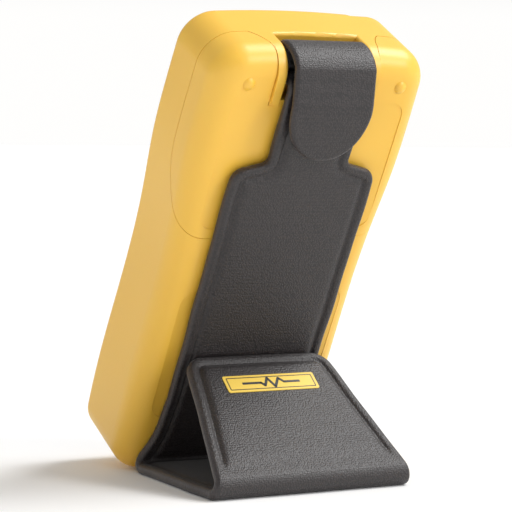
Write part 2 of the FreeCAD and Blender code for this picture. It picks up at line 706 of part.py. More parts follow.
def make_flap_crease():
    return ribbon("web", NECK_HALF, 0, LOOP_T)


def flap_layer(near, far):
    layer = ribbon("flap", NECK_HALF, near, far)
    tongue = plate(-NECK_HALF, NECK_HALF, FLAP_END_S, LENGTH + 30, 9.5, -30, 30)
    return layer.common(tongue)


def make_flap_outer():
    pocket = disc(0, FLAP_MAGNET_S, 5.1, FLAP_BACK - LINING - 0.75, FLAP_BACK - LINING + 1)
    return flap_layer(LINING, LOOP_T).cut(pocket)


def make_flap_inner():
    return flap_layer(0, LINING)


def make_flap_magnet():
    return disc(0, FLAP_MAGNET_S, 5.0, FLAP_BACK - LINING - 0.7, FLAP_BACK - LINING)


def lay_down(shape):
    """Strip coordinates to the floor: s becomes +Y and d becomes +Z."""
    shape = shape.copy()
    shape.rotate(V(0, 0, 0), V(1, 0, 0), -90)
    return shape


def base_outline(inset, d0, d1):
    right = [(FRONT_HALF - inset, FRONT_FOLD_Y + inset), (REAR_HALF - inset, REAR_FOLD_Y - inset)]
    return strip(right, d0, d1, (0, 0))


def make_base_sole():
    return lay_down(base_outline(0, 0, SKIN))


def make_base_top():
    return lay_down(base_outline(0, SKIN, STRAP_T).cut(base_outline(4.5, 0, SKIN + BOARD_T + 0.05)))


def make_base_board():
    return lay_down(base_outline(4.6, SKIN, SKIN + BOARD_T))


def raise_leg(shape):
    """Leg coordinates, upright over the rear fold's axis, to the sloping leg."""
    shape = shape.copy()
    shape.rotate(V(0, 0, 0), V(1, 0, 0), 90 - LEG_SLOPE)
    shape.translate(V(0, REAR_FOLD_Y, FOLD_R))
    return shape


def leg_outline(inset, d0, d1):
    return strip([(LEG_FOOT_HALF - inset, inset), (LEG_TOP_HALF - inset, LEG_LENGTH - inset)],
                 d0, d1, (0, 6.0 if inset == 0 else 2.5))


def make_leg_outer():
    return raise_leg(leg_outline(0, -FOLD_R, LEG_SEAM))


def make_leg_inner():
    panel = leg_outline(0, LEG_SEAM, -FOLD_R + STRAP_T)
    return raise_leg(panel.cut(leg_outline(4.5, LEG_SEAM - 1, LEG_SEAM + BOARD_T + 0.05)))


def make_leg_board():
    board = leg_outline(4.6, LEG_SEAM, LEG_SEAM + BOARD_T)
    return raise_leg(board.cut(magnets(LEG_MAGNETS, 5.1, -10, 10)))


def make_leg_magnets():
    return raise_leg(magnets(LEG_MAGNETS, 5.0, LEG_SEAM, LEG_SEAM + BOARD_T))


def make_label_patch():
    top = LEG_LENGTH - LABEL_DROP
    return raise_leg(plate(-15, 15, top - 6.2, top, 0.6, -FOLD_R - 0.4, -FOLD_R))


def fold(y, half, a0, a1):
    """Leather bent round a fold axis between two directions, in degrees, seen from the side."""
    def at(r, a):
        a = math.radians(a)
        return V(-half, y + r * math.cos(a), FOLD_R + r * math.sin(a))

    inner = FOLD_R - STRAP_T
    mid = (a0 + a1) / 2
    wire = Part.Wire([arc(at(FOLD_R, a0), at(FOLD_R, mid), at(FOLD_R, a1)),
                      line(at(FOLD_R, a1), at(inner, a1)),
                      arc(at(inner, a1), at(inner, mid), at(inner, a0)),
                      line(at(inner, a0), at(FOLD_R, a0))])
    return Part.Face(wire).extrude(V(2 * half, 0, 0))


def make_front_fold():
    return fold(FRONT_FOLD_Y, FRONT_HALF, 180 - TILT, 270)


def make_rear_fold():
    return fold(REAR_FOLD_Y, REAR_HALF, 270, 450 - LEG_SLOPE)


def make_strap_bar():
    bar = rod(-POCKET_HALF + 0.1, POCKET_HALF - 0.1, BAR_S, BAR_D, BAR_R)
    return bar.fuse(rod(-ARCH_HALF + 0.8, ARCH_HALF - 0.8, BAR_S, BAR_D, 1.15))


# ---------------------------------------------------------------- the whole assembly
METER = {
    "frame": make_frame, "battery_door": make_door, "front_case": make_front_case,
    "strap_bar": make_strap_bar, "display_window": make_window_lens,
    "display_frame": make_lcd_frame, "display_panel": make_lcd_panel,
    "backlight_guide": make_backlight, "contact_strips": make_zebra_strips,
    "keypad_mat": make_keypad_mat, "selector_knob": make_knob, "knob_pointer": make_knob_pointer,
    "selector_rotor": make_rotor, "rotor_screw": make_rotor_screw,
    "detent_balls": make_detent_balls, "rotor_wipers": make_wipers,
    "selector_tracks": make_selector_tracks, "main_board": make_main_pcb,
    "board_components": make_board_components, "surge_parts": make_surge_parts,
    "current_shunt": make_shunt, "buzzer": make_buzzer, "fuse": make_fuse,
    "fuse_clips": make_fuse_clips, "rear_shield": make_rear_shield,
    "jack_block": make_jack_block, "jack_sockets": make_jack_sockets,
    "jack_rings_live": make_live_rings, "jack_ring_common": make_common_ring,
    "batteries": make_batteries, "battery_tray": make_battery_tray,
    "battery_springs": make_battery_springs, "battery_contacts": make_battery_contacts,
    "case_screws": make_case_screws, "board_screws": make_pcb_screws,
    "door_screw": make_door_screw,
    "strap_main_outer": make_main_outer, "strap_main_inner": make_main_inner,
    "strap_main_board": make_main_board, "strap_main_magnets": make_main_magnets,
    "strap_loop": make_strap_loop,
    "flap_crease": make_flap_crease, "flap_outer": make_flap_outer,
    "flap_inner": make_flap_inner, "flap_magnet": make_flap_magnet,
}
for number, x in enumerate(BUTTON_XS, 1):
    METER["button_%d" % number] = lambda x=x: make_button(x)

STAND = {
    "front_fold": make_front_fold, "rear_fold": make_rear_fold,
    "base_sole": make_base_sole, "base_top": make_base_top, "base_board": make_base_board,
    "leg_outer": make_leg_outer, "leg_inner": make_leg_inner, "leg_board": make_leg_board,
    "leg_magnets": make_leg_magnets, "label_patch": make_label_patch,
}

os.makedirs("parts", exist_ok=True)
for node, make in METER.items():
    shape = lean_back(make())
    shape.translate(V(0, -PART_CENTRE_Y, 0))
    shape.exportStep("parts/" + node + ".step")
for node, make in STAND.items():
    shape = make()
    shape.translate(V(0, -PART_CENTRE_Y, 0))
    shape.exportStep("parts/" + node + ".step")
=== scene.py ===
"""Looks of the handheld multimeter that leans on its folded leather strap.

The helpers work in millimetres and turn them into metres as they make a mesh. In "meter
coordinates" x runs across, s up from the bottom end and d forward from the back face.
"""
import json
import math

import bmesh
import bpy
import numpy as np
from mathutils import Matrix, Vector


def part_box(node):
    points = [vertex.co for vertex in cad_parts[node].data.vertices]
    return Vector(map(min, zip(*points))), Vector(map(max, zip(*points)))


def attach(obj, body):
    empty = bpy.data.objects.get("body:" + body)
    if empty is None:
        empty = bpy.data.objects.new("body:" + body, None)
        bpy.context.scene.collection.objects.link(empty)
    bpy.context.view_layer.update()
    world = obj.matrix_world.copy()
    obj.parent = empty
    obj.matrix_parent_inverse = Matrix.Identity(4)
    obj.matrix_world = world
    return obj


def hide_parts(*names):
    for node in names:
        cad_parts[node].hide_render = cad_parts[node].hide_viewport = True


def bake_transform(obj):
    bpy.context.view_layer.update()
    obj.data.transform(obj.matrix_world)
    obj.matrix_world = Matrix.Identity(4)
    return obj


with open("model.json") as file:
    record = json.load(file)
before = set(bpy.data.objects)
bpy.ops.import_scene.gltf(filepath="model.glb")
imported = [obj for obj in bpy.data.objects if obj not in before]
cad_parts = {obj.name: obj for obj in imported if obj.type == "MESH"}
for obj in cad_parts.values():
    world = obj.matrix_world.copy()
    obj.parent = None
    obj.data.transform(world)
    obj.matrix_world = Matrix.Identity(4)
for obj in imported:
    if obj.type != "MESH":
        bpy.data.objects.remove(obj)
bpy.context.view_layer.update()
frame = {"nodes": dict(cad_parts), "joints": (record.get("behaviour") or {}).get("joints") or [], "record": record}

MM = 0.001
JOINTS = {joint["name"]: joint for joint in frame["joints"]}
SLOTS = {m["slot"]: m for m in frame["record"]["materials"]}
NODE_SLOT = {p["node"]: p["material_slot"] for p in frame["record"]["subparts"]}

# ---------------------------------------------------------------- the leaning meter
KNOB_S = 56.0              # where the selector's axis meets the front rim
RIM_D = 28.0
FACE_D = 27.4              # dark face plate
GLASS_D = 25.3             # front of the display panel
KEY_D = 28.7               # front of the keys
KEY_S = 87.0
KEY_XS = (-21.6, -7.2, 7.2, 21.6)
JACK_S = 19.0
JACK_XS = (-20.0, 0.0, 20.0)

out = Vector(JOINTS["selector_turn"]["axis"])
up = Vector((0, out.z, -out.y))
knob = Vector(JOINTS["selector_turn"]["pos_m"])
lean = math.degrees(math.atan2(out.z, -out.y))


def meter(x, s, d):
    """Point of the leaning meter in metres."""
    return knob + Vector((x * MM, 0, 0)) + up * ((s - KNOB_S) * MM) + out * ((d - RIM_D) * MM)


def set_inputs(node, **inputs):
    """Sets a shader node's inputs by name, with _ for each space."""
    for key, value in inputs.items():
        node.inputs[key.replace("_", " ")].default_value = value


# ---------------------------------------------------------------- camera, light and floor
LENS = 153.8
AZIMUTH, ELEVATION, ROLL = 150.09, 3.25, 0.60
DISTANCE = 650.0
TARGET = Vector((-7.69, -10.42, 63.48))
SKY = 0.52                 # strength above the horizon
HORIZON = 1.0
# name, share to the camera's right, towards the camera and up, strength, softness in degrees
SUNS = (("key", 0.60, -0.12, 0.80, 2.3, 32), ("side", 0.95, 0.45, 0.45, 1.0, 14))


def make_camera():
    """Makes the camera; returns the level direction to its right and the one back towards it."""
    a, e, roll = (math.radians(v) for v in (AZIMUTH, ELEVATION, ROLL))
    back = Vector((math.sin(a) * math.cos(e), -math.cos(a) * math.cos(e), math.sin(e)))
    right = (-back).cross(Vector((0, 0, 1))).normalized()
    top = back.cross(right)
    turned_right = right * math.cos(roll) + top * math.sin(roll)
    turned_top = top * math.cos(roll) - right * math.sin(roll)
    data = bpy.data.cameras.new("camera")
    data.lens = LENS
    data.clip_start = 0.01
    data.clip_end = 50
    camera = bpy.data.objects.new("camera", data)
    bpy.context.scene.collection.objects.link(camera)
    place = Matrix((turned_right, turned_top, back)).transposed().to_4x4()
    place.translation = (TARGET + back * DISTANCE) * MM
    camera.matrix_world = place
    bpy.context.scene.camera = camera
    return right, back


def make_sky():
    """Studio walls: white at the horizon, softer above."""
    world = bpy.data.worlds.new("studio")
    world.use_nodes = True
    nodes, links = world.node_tree.nodes, world.node_tree.links
    nodes.clear()
    coordinate = nodes.new("ShaderNodeTexCoord")
    height = nodes.new("ShaderNodeVectorMath")
    height.operation = "DOT_PRODUCT"
    height.inputs[1].default_value = (0, 0, 1)
    glow = nodes.new("ShaderNodeMapRange")
    glow.interpolation_type = "SMOOTHSTEP"
    set_inputs(glow, From_Min=0.05, From_Max=0.16, To_Min=HORIZON, To_Max=0.0)
    level = nodes.new("ShaderNodeMath")
    level.operation = "MAXIMUM"
    level.inputs[0].default_value = SKY
    shade = nodes.new("ShaderNodeBackground")
    set_inputs(shade, Color=(1.0, 0.995, 0.985, 1))
    end = nodes.new("ShaderNodeOutputWorld")
    links.new(coordinate.outputs["Generated"], height.inputs[0])
    links.new(height.outputs["Value"], glow.inputs["Value"])
    links.new(glow.outputs["Result"], level.inputs[1])
    links.new(level.outputs["Value"], shade.inputs["Strength"])
    links.new(shade.outputs["Background"], end.inputs["Surface"])
    bpy.context.scene.world = world


def make_sun(name, direction, strength, softness):
    """Sun that shines from direction."""
    data = bpy.data.lights.new(name, "SUN")
    data.energy = strength
    data.angle = math.radians(softness)
    lamp = bpy.data.objects.new(name, data)
    lamp.rotation_mode = "QUATERNION"
    lamp.rotation_quaternion = direction.to_track_quat("Z", "Y")
    bpy.context.scene.collection.objects.link(lamp)


# ---------------------------------------------------------------- materials
def new_material(name):
    """A material, its node tools add(type, **inputs) and link(output, input), and its shader."""
    mat = bpy.data.materials.new(name)
    mat.use_nodes = True
    tree = mat.node_tree
    tree.nodes.clear()

    def add(kind, **inputs):
        node = tree.nodes.new("ShaderNode" + kind)
        set_inputs(node, **inputs)
        return node

    shader = add("BsdfPrincipled")
    end = add("OutputMaterial")
    tree.links.new(shader.outputs["BSDF"], end.inputs["Surface"])
    return mat, add, tree.links.new, shader


def grain(add, link, kind, size, **inputs):
    """Texture whose features are about size mm."""
    texture = add(kind, Scale=1000.0 / size, **inputs)
    place = add("TexCoord")
    link(place.outputs["Object"], texture.inputs["Vector"])
    return texture


def spread(add, link, value, low, high):
    """Maps 0..1 to low..high."""
    node = add("MapRange", To_Min=low, To_Max=high)
    link(value, node.inputs["Value"])
    return node.outputs["Result"]


def tint(add, link, factor, first, second):
    """Blends two colours by a factor."""
    node = add("MixRGB", Color1=(*first, 1), Color2=(*second, 1))
    link(factor, node.inputs["Fac"])
    return node.outputs["Color"]


def bumped(add, link, height, depth, strength, below=None):
    """Bump of depth mm; below is the normal it goes on top of."""
    node = add("Bump", Strength=strength, Distance=depth * MM)
    link(height, node.inputs["Height"])
    if below:
        link(below, node.inputs["Normal"])
    return node.outputs["Normal"]


def plastic(name, colour, rough, texture=0.35, depth=0.012, coat=0.0, vary=0.06):
    """Moulded plastic: spark-eroded texture, slow changes of colour and gloss."""
    mat, add, link, shader = new_material(name)
    fine = grain(add, link, "TexNoise", texture, Detail=3.0, Roughness=0.6)
    slow = grain(add, link, "TexNoise", 26.0, Detail=2.0)
    dark = [c * (1 - vary) for c in colour]
    light = [min(1.0, c * (1 + vary)) for c in colour]
    link(tint(add, link, slow.outputs["Fac"], dark, light), shader.inputs["Base Color"])
    link(spread(add, link, slow.outputs["Fac"], rough - 0.05, rough + 0.06),
         shader.inputs["Roughness"])
    link(bumped(add, link, fine.outputs["Fac"], depth, 0.7), shader.inputs["Normal"])
    set_inputs(shader, Coat_Weight=coat, Coat_Roughness=0.15)
    return mat


def yellow_plastic():
    """Over-moulded shell: satin, faintly translucent, with soft flow marks."""
    mat, add, link, shader = new_material("yellow_shell")
    fine = grain(add, link, "TexNoise", 0.30, Detail=3.0, Roughness=0.62)
    waves = grain(add, link, "TexNoise", 14.0, Detail=1.0)
    slow = grain(add, link, "TexNoise", 38.0, Detail=2.0)
    link(tint(add, link, slow.outputs["Fac"], (0.87, 0.500, 0.050), (0.91, 0.545, 0.062)),
         shader.inputs["Base Color"])
    link(spread(add, link, fine.outputs["Fac"], 0.34, 0.46), shader.inputs["Roughness"])
    low = bumped(add, link, waves.outputs["Fac"], 0.05, 0.5)
    link(bumped(add, link, fine.outputs["Fac"], 0.010, 0.6, low), shader.inputs["Normal"])
    set_inputs(shader, Subsurface_Weight=0.12, Subsurface_Radius=(0.003, 0.0016, 0.0004),
               Specular_IOR_Level=0.65)
    return mat


PEBBLE = 0.54
RUBBED_EDGE = 0.9          # how far in from the edge leather is worn pale


def leather(name, dark, light):
    """Coated leather: small pebbles with painted highlights on their tops and painted shade in the creases between
    them, rubbed edges.
    """
    mat, add, link, shader = new_material(name)
    pebble = grain(add, link, "TexVoronoi", PEBBLE, Randomness=0.7)
    pores = grain(add, link, "TexNoise", 0.15, Detail=3.0, Roughness=0.6)
    slow = grain(add, link, "TexNoise", 9.0, Detail=3.0)
    edge = add("Attribute")
    edge.attribute_name = "edge"
    dome = spread(add, link, pebble.outputs["Distance"], 1.0, 0.0)
    colour = add("MixRGB", Fac=1.0)
    colour.blend_type = "MULTIPLY"
    # the pebble pattern is the grain's own; its tops are painted lighter as painted glints and its creases painted
    # darker as painted shade
    crease = add("MapRange", From_Min=0.15, From_Max=0.62, To_Min=1.45, To_Max=0.35)
    link(pebble.outputs["Distance"], crease.inputs["Value"])
    link(tint(add, link, slow.outputs["Fac"], dark, light), colour.inputs["Color1"])
    link(crease.outputs["Result"], colour.inputs["Color2"])
    rubbed = add("MapRange", From_Max=RUBBED_EDGE, To_Min=0.35, To_Max=0.0)
    link(edge.outputs["Fac"], rubbed.inputs["Value"])
    worn = add("MixRGB", Color2=(*[c * 2.2 for c in light], 1))
    link(rubbed.outputs["Result"], worn.inputs["Fac"])
    link(colour.outputs["Color"], worn.inputs["Color1"])
    link(worn.outputs["Color"], shader.inputs["Base Color"])
    link(spread(add, link, pores.outputs["Fac"], 0.38, 0.54), shader.inputs["Roughness"])
    low = bumped(add, link, dome, 0.13, 1.0)
    link(bumped(add, link, pores.outputs["Fac"], 0.006, 0.4, low), shader.inputs["Normal"])
    set_inputs(shader, Sheen_Weight=0.17, Sheen_Roughness=0.35, Specular_IOR_Level=0.62)
    return mat


def metal(name, colour, rough, brushed):
    """Plated or drawn metal with fine lines along x when brushed."""
    mat, add, link, shader = new_material(name)
    place = add("TexCoord")
    stretch = add("Mapping", Scale=(0.06 if brushed else 1.0, 1.0, 1.0))
    link(place.outputs["Object"], stretch.inputs["Vector"])
    lines = add("TexNoise", Scale=6000.0, Detail=3.0)
    link(stretch.outputs["Vector"], lines.inputs["Vector"])
    link(tint(add, link, lines.outputs["Fac"], [c * 0.86 for c in colour], colour),
         shader.inputs["Base Color"])
    link(spread(add, link, lines.outputs["Fac"], rough - 0.06, rough + 0.1),
         shader.inputs["Roughness"])
    link(bumped(add, link, lines.outputs["Fac"], 0.004, 0.4), shader.inputs["Normal"])
    set_inputs(shader, Metallic=1.0)
    return mat


def clear_glass(name):
    """Clear window with a faint haze."""
    mat, add, link, shader = new_material(name)
    haze = grain(add, link, "TexNoise", 12.0, Detail=2.0)
    link(spread(add, link, haze.outputs["Fac"], 0.02, 0.07), shader.inputs["Roughness"])
    set_inputs(shader, Base_Color=(0.93, 0.96, 0.96, 1), Transmission_Weight=1.0, IOR=1.46)
    return mat


def circuit_board(name):
    """Green solder mask with copper runs showing through."""
    mat, add, link, shader = new_material(name)
    runs = grain(add, link, "TexBrick", 9.0, Mortar_Size=0.06, Color1=(0.006, 0.10, 0.04, 1),
                 Color2=(0.010, 0.13, 0.05, 1), Mortar=(0.05, 0.24, 0.09, 1))
    specks = grain(add, link, "TexNoise", 0.5, Detail=2.0)
    link(runs.outputs["Color"], shader.inputs["Base Color"])
    link(spread(add, link, specks.outputs["Fac"], 0.25, 0.4), shader.inputs["Roughness"])
    link(bumped(add, link, runs.outputs["Fac"], 0.03, 0.5), shader.inputs["Normal"])
    return mat


def pale_floor():
    """Matt white table."""
    mat, add, link, shader = new_material("studio_floor")
    slow = grain(add, link, "TexNoise", 300.0, Detail=2.0)
    link(tint(add, link, slow.outputs["Fac"], (0.93, 0.93, 0.93), (0.95, 0.95, 0.95)),
         shader.inputs["Base Color"])
    set_inputs(shader, Roughness=0.8)
    return mat


LEATHER = leather("strap_leather", (0.020, 0.0140, 0.0140), (0.027, 0.0200, 0.0200))
SPECIAL = {
    "yellow_shell": yellow_plastic,
    "strap_leather": lambda: LEATHER,
    "clear_window": lambda: clear_glass("clear_window"),
    "circuit_board": lambda: circuit_board("circuit_board"),
}
# roughness, and whether it is brushed
METALS = {"gold_plate": (0.22, False), "copper_wire": (0.3, True), "spring_steel": (0.28, True),
          "shield_foil": (0.35, True), "screw_steel": (0.3, False), "magnet_nickel": (0.2, False)}
# roughness, size and depth of the moulded texture, clear coat
PLASTICS = {
    "dark_face": (0.55, 0.35, 0.012, 0.0), "key_rubber": (0.62, 0.25, 0.01, 0.0),
    "knob_plastic": (0.48, 0.30, 0.010, 0.0), "display": (0.25, 0.5, 0.003, 0.3),
    "ring_red": (0.28, 0.4, 0.004, 0.3), "ring_black": (0.28, 0.4, 0.004, 0.3),
    "jack_plastic": (0.34, 0.4, 0.006, 0.1), "surge_blue": (0.3, 0.8, 0.02, 0.4),
    "part_black": (0.45, 0.3, 0.01, 0.0), "fuse_ceramic": (0.25, 0.6, 0.004, 0.4),
    "cell_wrap": (0.3, 0.6, 0.004, 0.4), "label_yellow": (0.5, 0.3, 0.012, 0.0),
}


def slot_material(slot):
    """The material of one of the record's slots."""
    colour = SLOTS[slot]["base_color"][:3]
    if slot in SPECIAL:
        return SPECIAL[slot]()
    if slot in METALS:
        rough, brushed = METALS[slot]
        return metal(slot, colour, rough, brushed)
    rough, texture, depth, coat = PLASTICS.get(slot, (0.5, 0.4, 0.01, 0.0))
    return plastic(slot, colour, rough, texture, depth, coat)


def dress_frame():
    """Gives each CAD node the material of its slot."""
    made = {}
    for node, obj in frame["nodes"].items():
        slot = NODE_SLOT[node]
        if slot not in made:
            made[slot] = slot_material(slot)
        for place in obj.material_slots:
            place.material = made[slot]
        if not obj.material_slots:
            obj.data.materials.append(made[slot])
    return made


# ---------------------------------------------------------------- the leather strap
STRAP_T = 3.0              # padded panels
LOOP_T = 2.2               # unpadded leather of the neck, loop and flap
EDGE_R = 1.15
BORDER = 3.3               # pressed line round each panel
BORDER_WIDTH = 0.75
BORDER_DEPTH = 0.62
PILLOW = 0.26              # padding's rise inside the pressed line
RIPPLE = 0.05              # unevenness of the faces
WAVE, SHORT_WAVE = 0.10, 0.07  # unevenness of the edges
FOLD_MID = 2.5             # middle-line radius of the two folds
WRAP_MID = 4.28            # of the loop round the bar
NECK_MID = 2.1
CROWN_MID = 9.4
CREASE_MID = 1.2
SWEEP_MID = 13.0
SWEEP_TURN = 19.0
FLAP_STAND_OFF = 2.0       # degrees the flap's end leans away from the strap
LEG_SLOPE = 41.0
LEG_LENGTH = 44.3
FLAP_HALF = 12.9
TONGUE = 15.0              # length of the flap's rounded end
MAIN_HALF = 23.3
FRONT_HALF = 28.6
REAR_HALF = 32.4
LEG_FOOT_HALF = 31.0
LEG_HALF = 22.9
SHOULDER_LOW, SHOULDER_HIGH = 106.2, 109.0
ABOVE_SHOULDER, BELOW_SHOULDER = 2.5, 5.5  # reach of the finer steps round the shoulder
CREASE_TURN = 22.0
CROWN_TURN = 47.0
LABEL_DROP = 8.8           # leg's end to the yellow patch
LABEL_HALF = 3.1           # half of the patch along the leg

front_axis = Vector(JOINTS["front_fold_turn"]["pos_m"]) / MM
rear_axis = Vector(JOINTS["rear_fold_turn"]["pos_m"]) / MM
bar_axis = Vector(JOINTS["strap_swing"]["pos_m"]) / MM
fold_s = KNOB_S + (front_axis - knob / MM).dot(up)
bar_rise = (bar_axis - front_axis).dot(up)
bar_reach = (bar_axis - front_axis).dot(out)
main_run = bar_rise - WRAP_MID - NECK_MID
neck_run = fold_s + main_run - (SHOULDER_HIGH + ABOVE_SHOULDER)
shoulder_run = SHOULDER_HIGH - SHOULDER_LOW + ABOVE_SHOULDER + BELOW_SHOULDER
base_run = rear_axis.y - front_axis.y


def bend(degrees, radius):
    """Length of a bend."""
    return math.radians(abs(degrees)) * radius


# name, length, turn to the left in degrees, longest step
STRAP_MOVES = (
    ("flap_tip", 1.4, 0, 0.14),
    ("flap_end", 9.0, 0, 0.4),
    ("flap_low", 3.0, 0, 0.6),
    ("flap_sweep", bend(SWEEP_TURN, SWEEP_MID), SWEEP_TURN, 0.5),
    ("flap_high", 8.5, 0, 0.6),
    ("crease", bend(CREASE_TURN, CREASE_MID), CREASE_TURN, 0.12),
    ("crown", bend(CROWN_TURN, CROWN_MID), CROWN_TURN, 0.5),
    ("crown_flat", 0.4, 0, 0.2),
    ("loop_flat", 0.4, 0, 0.2),
    ("loop", bend(180, WRAP_MID), 180, 0.5),
    ("under_bar", bar_reach - FOLD_MID - NECK_MID, 0, 0.6),
    ("neck_turn", bend(90, NECK_MID), -90, 0.25),
    ("neck", neck_run, 0, 0.6),
    ("shoulder", shoulder_run, 0, 0.22),
    ("main", main_run - neck_run - shoulder_run, 0, 0.6),
    ("front_fold", bend(90 + lean, FOLD_MID), 90 + lean, 0.35),
    ("base_front", base_run / 2, 0, 0.7),
    ("base_rear", base_run / 2, 0, 0.7),
    ("rear_fold", bend(180 - LEG_SLOPE, FOLD_MID), 180 - LEG_SLOPE, 0.35),
    ("leg", LEG_LENGTH - 11.4, 0, 0.6),
    ("leg_end", 10.0, 0, 0.4),
    ("leg_tip", 1.4, 0, 0.14),
)


def strap_stations():
    """Middle line in the side view: run v, place (y, z), heading, and each move's first station."""
    place = np.zeros(2)
    angle = math.radians(90 - lean + FLAP_STAND_OFF)
    run = 0.0
    rows = [(run, *place, angle)]
    first = {}
    for name, length, turn, step in STRAP_MOVES:
        first[name] = len(rows) - 1
        count = max(1, math.ceil(length / step))
        part, swing = length / count, math.radians(turn) / count
        for _ in range(count):
            middle = angle + swing / 2
            chord = part if swing == 0 else 2 * (part / swing) * math.sin(swing / 2)
            place = place + chord * np.array((math.cos(middle), math.sin(middle)))
            angle += swing
            run += part
            rows.append((run, *place, angle))
    first["end"] = len(rows) - 1
    rows = np.array(rows)
    base = rows[first["base_front"]]
    rows[:, 1] += front_axis.y - base[1]
    rows[:, 2] += front_axis.z - FOLD_MID - base[2]
    return rows, first


ROWS, FIRST = strap_stations()


def run_at(name):
    """Where a move of the strap starts, along its middle line."""
    return ROWS[FIRST[name], 0]


def rounded(points, radii, steps=14):
    """Open line through the points with its corners rounded."""
    line = [np.array(points[0], float)]
    for before, corner, after, r in zip(points, points[1:], points[2:], radii[1:]):
        before, corner, after = (np.array(p, float) for p in (before, corner, after))
        if r == 0:
            line.append(corner)
            continue
        a, b = before - corner, after - corner
        a, b = a / np.linalg.norm(a), b / np.linalg.norm(b)
        half = math.acos(np.clip(a @ b, -1, 1)) / 2
        centre = corner + (a + b) / np.linalg.norm(a + b) * (r / math.sin(half))
        start = corner + a * (r / math.tan(half)) - centre
        finish = corner + b * (r / math.tan(half)) - centre
        sweep = math.pi - 2 * half
        for k in range(steps + 1):
            t = k / steps
            mix = (math.sin((1 - t) * sweep) * start + math.sin(t * sweep) * finish)
            line.append(centre + mix / math.sin(sweep))
    line.append(np.array(points[-1], float))
    return np.array(line)


def strap_outline():
    """Half width along the unrolled strap, from the flap's end to the leg's end."""
    shoulder = run_at("front_fold") + fold_s
    taper = run_at("front_fold") - 20.0
    end = run_at("end")
    fold = run_at("front_fold")
    points = [(TONGUE, FLAP_HALF), (shoulder - SHOULDER_HIGH, FLAP_HALF),
              (shoulder - SHOULDER_LOW, MAIN_HALF), (taper, MAIN_HALF), (fold - 7, MAIN_HALF + 1.2),
              (fold + 2.5, FRONT_HALF), (run_at("base_front"), FRONT_HALF),
              (run_at("rear_fold") + 1, REAR_HALF), (run_at("leg"), LEG_FOOT_HALF),
              (end, LEG_HALF), (end, 0)]
    line = rounded(points, (0, 2.2, 4.5, 30, 30, 3, 6, 2, 2, 6.0, 0))
    turns = np.linspace(0, math.pi / 2, 24)[:-1]
    tongue = np.stack((TONGUE * (1 - np.cos(turns)), FLAP_HALF * np.sin(turns) ** 0.92), 1)
    return np.concatenate((tongue, line))


OUTLINE = strap_outline()


def edge_distance(x, v):
    """Distance of unrolled points to the strap's edge."""
    a, b = OUTLINE[:-1], OUTLINE[1:]
    step = b - a
    long = np.maximum((step ** 2).sum(1), 1e-12)
    result = np.empty(len(v))
    for start in range(0, len(v), 4000):
        part = slice(start, start + 4000)
        point = np.stack((v[part], np.abs(x[part])), 1)[:, None, :]
        t = np.clip(((point - a) * step).sum(2) / long, 0, 1)
        gap = point - (a + t[..., None] * step)
        result[part] = np.sqrt((gap ** 2).sum(2).min(1))
    return result


def across(half):
    """Right-hand sample places across the strap, from the edge to the middle."""
    near = np.array((0, 0.05, 0.2, 0.45, 0.8, 1.2, 1.8, 2.3, 2.7, 3.0, 3.3, 3.6, 3.9, 4.3,
                     4.9, 5.8))
    near = near * min(1.0, half / FLAP_HALF)
    inner = np.linspace(near[-1], half, 11)[1:]
    return half - np.concatenate((near, inner))


def fade(v, low, high):
    """Smooth rise from 0 at low to 1 at high."""
    t = np.clip((v - low) / (high - low), 0, 1)
    return t * t * (3 - 2 * t)


def thickness(v):
    """The neck thins to the loop's single leather."""
    neck = run_at("neck")
    return LOOP_T + (STRAP_T - LOOP_T) * fade(v, neck + 2.0, neck + 9.0)


def border_strength(v, face):
    """How deep the pressed border is on one face: 1 is inside the folded stand, -1 outside."""
    neck, fold = run_at("neck"), run_at("front_fold")
    rear, leg = run_at("rear_fold"), run_at("leg")
    start = fade(v, neck + 5.0, neck + 14.0)
    if face > 0:
        return start * (1 - 0.5 * fade(v, fold - 2, fold + 2)) * (1 - fade(v, rear - 8, rear - 2))
    low = start * (1 - fade(v, fold - 8, fold - 2))
    return low * 0.6 + fade(v, leg + 1.5, leg + 7.0)


